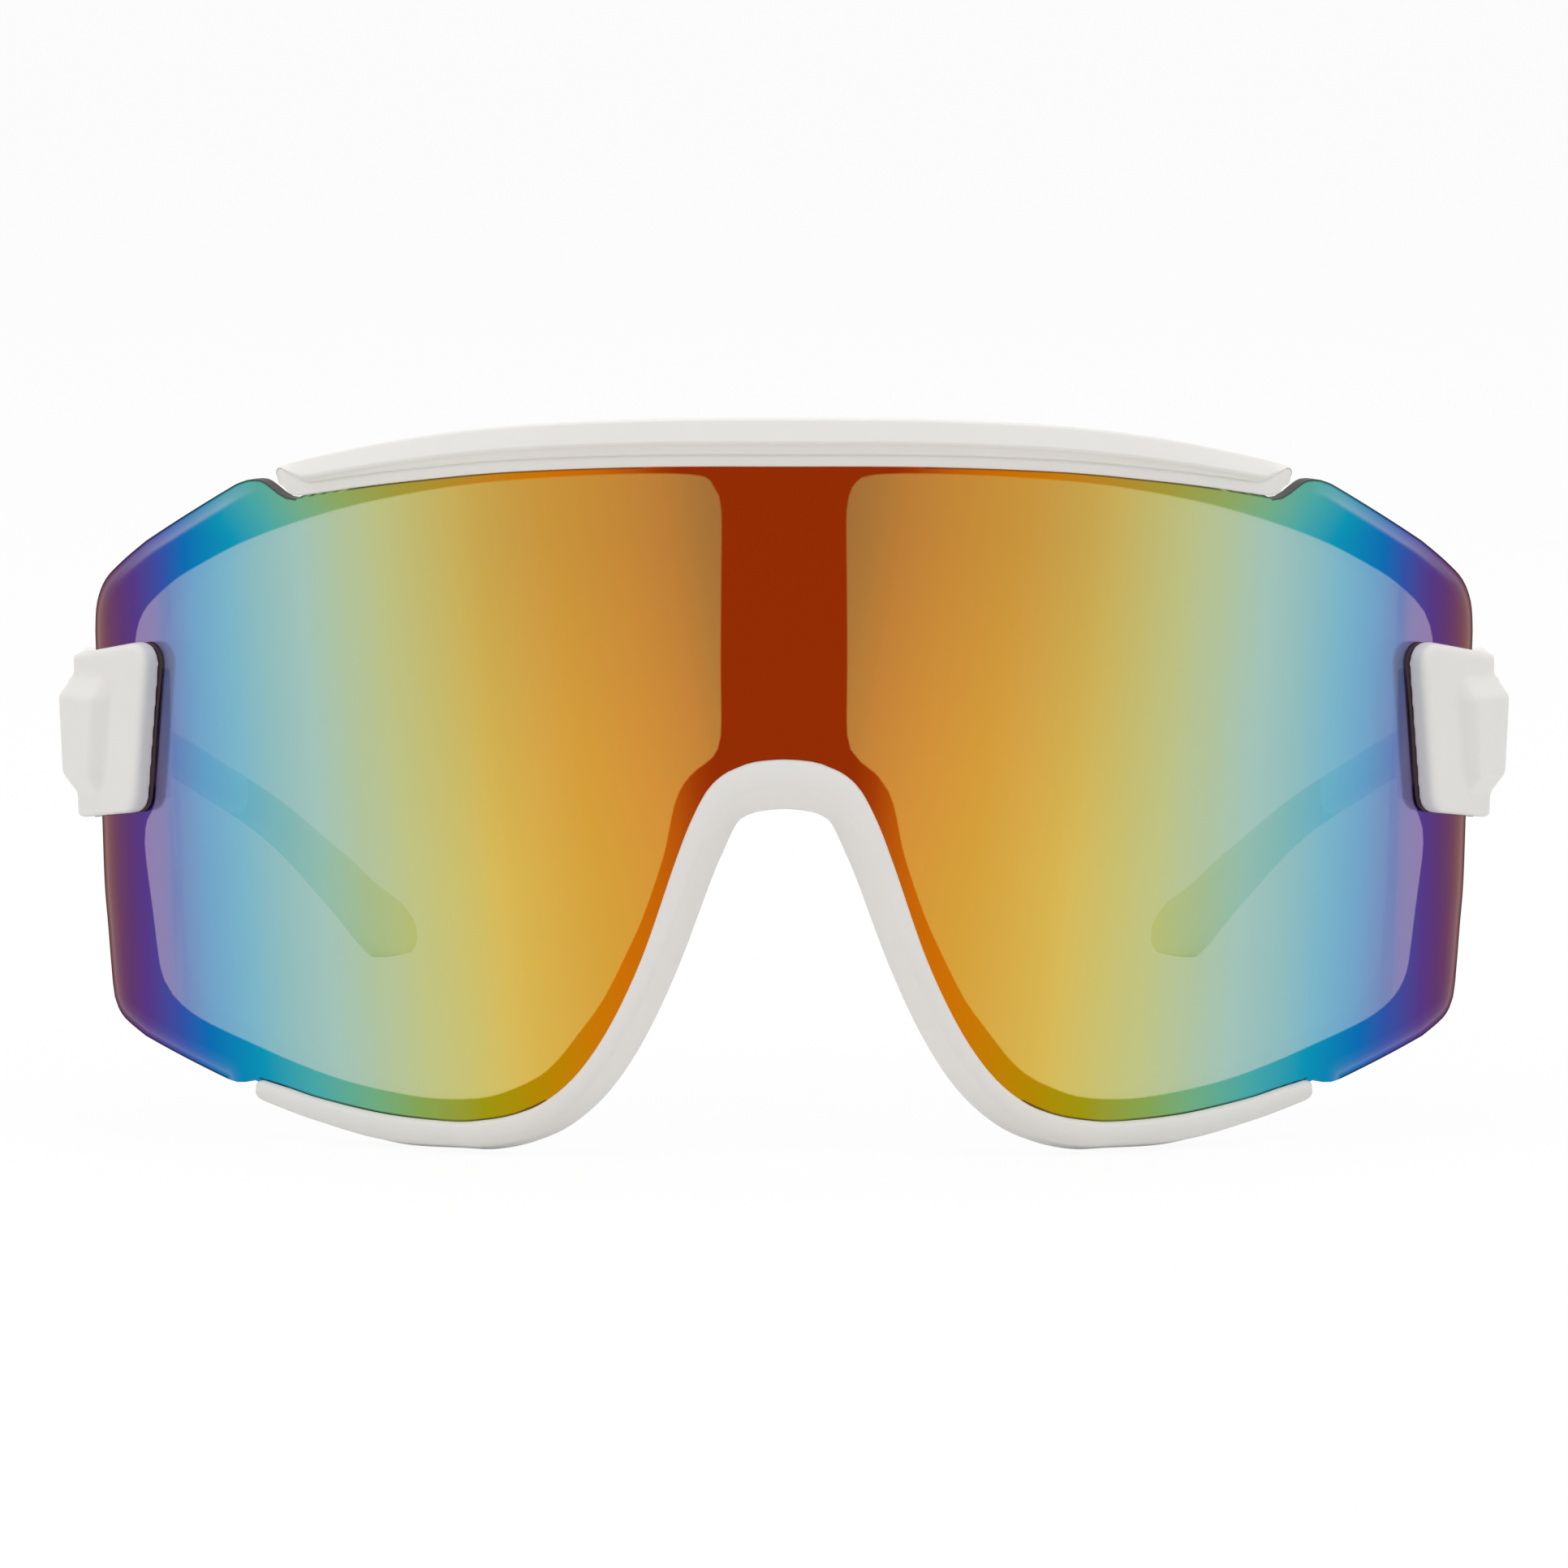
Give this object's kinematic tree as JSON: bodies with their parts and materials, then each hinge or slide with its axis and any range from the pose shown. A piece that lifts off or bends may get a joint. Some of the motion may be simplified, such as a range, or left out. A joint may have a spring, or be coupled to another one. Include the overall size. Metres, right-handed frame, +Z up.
{
  "type": "shield sunglasses",
  "caption": "Wrap-around shield sunglasses with a mirrored lens held by a brow bar and a nose-arch rim, and temples that fold on side brackets.",
  "frame": {"origin": "middle of the bottom of the part's box, on the surface it rests on, temples open", "axes": "+Z up, -Y the way the lens faces, +X the wearer's left"},
  "size_m": [0.1502, 0.1656, 0.0745],
  "materials": {
    "lens": "mirrored polycarbonate, red-brown to violet",
    "white_frame": "satin moulded nylon",
    "soft_rubber": "soft matt rubber",
    "gasket": "dark brown thin pad",
    "steel": "plain steel",
    "washer": "acetal"
  },
  "bodies": {
    "front": {"shield_lens": "lens", "brow_bar": "white_frame", "lower_rim": "white_frame", "end_cover_left": "white_frame", "lens_gasket_left": "gasket", "hinge_block_left": "white_frame", "clamp_screws_left": "steel", "hinge_screw_left": "steel", "hinge_washers_left": "washer", "nose_pad_left": "soft_rubber", "end_cover_right": "white_frame", "lens_gasket_right": "gasket", "hinge_block_right": "white_frame", "clamp_screws_right": "steel", "hinge_screw_right": "steel", "hinge_washers_right": "washer", "nose_pad_right": "soft_rubber"},
    "left_temple": {"temple_left": "white_frame", "ear_tip_left": "soft_rubber"},
    "right_temple": {"temple_right": "white_frame", "ear_tip_right": "soft_rubber"}
  },
  "joints": [
    {"name": "left_temple_fold", "type": "hinge", "parent": "front", "child": "left_temple", "pos_m": [0.06902, -0.0367, 0.03961], "axis": [0, 0, 1], "range_deg": [0, 88]},
    {"name": "right_temple_fold", "type": "hinge", "parent": "front", "child": "right_temple", "pos_m": [-0.06902, -0.0367, 0.03961], "axis": [0, 0, -1], "range_deg": [0, 83]}
  ]
}
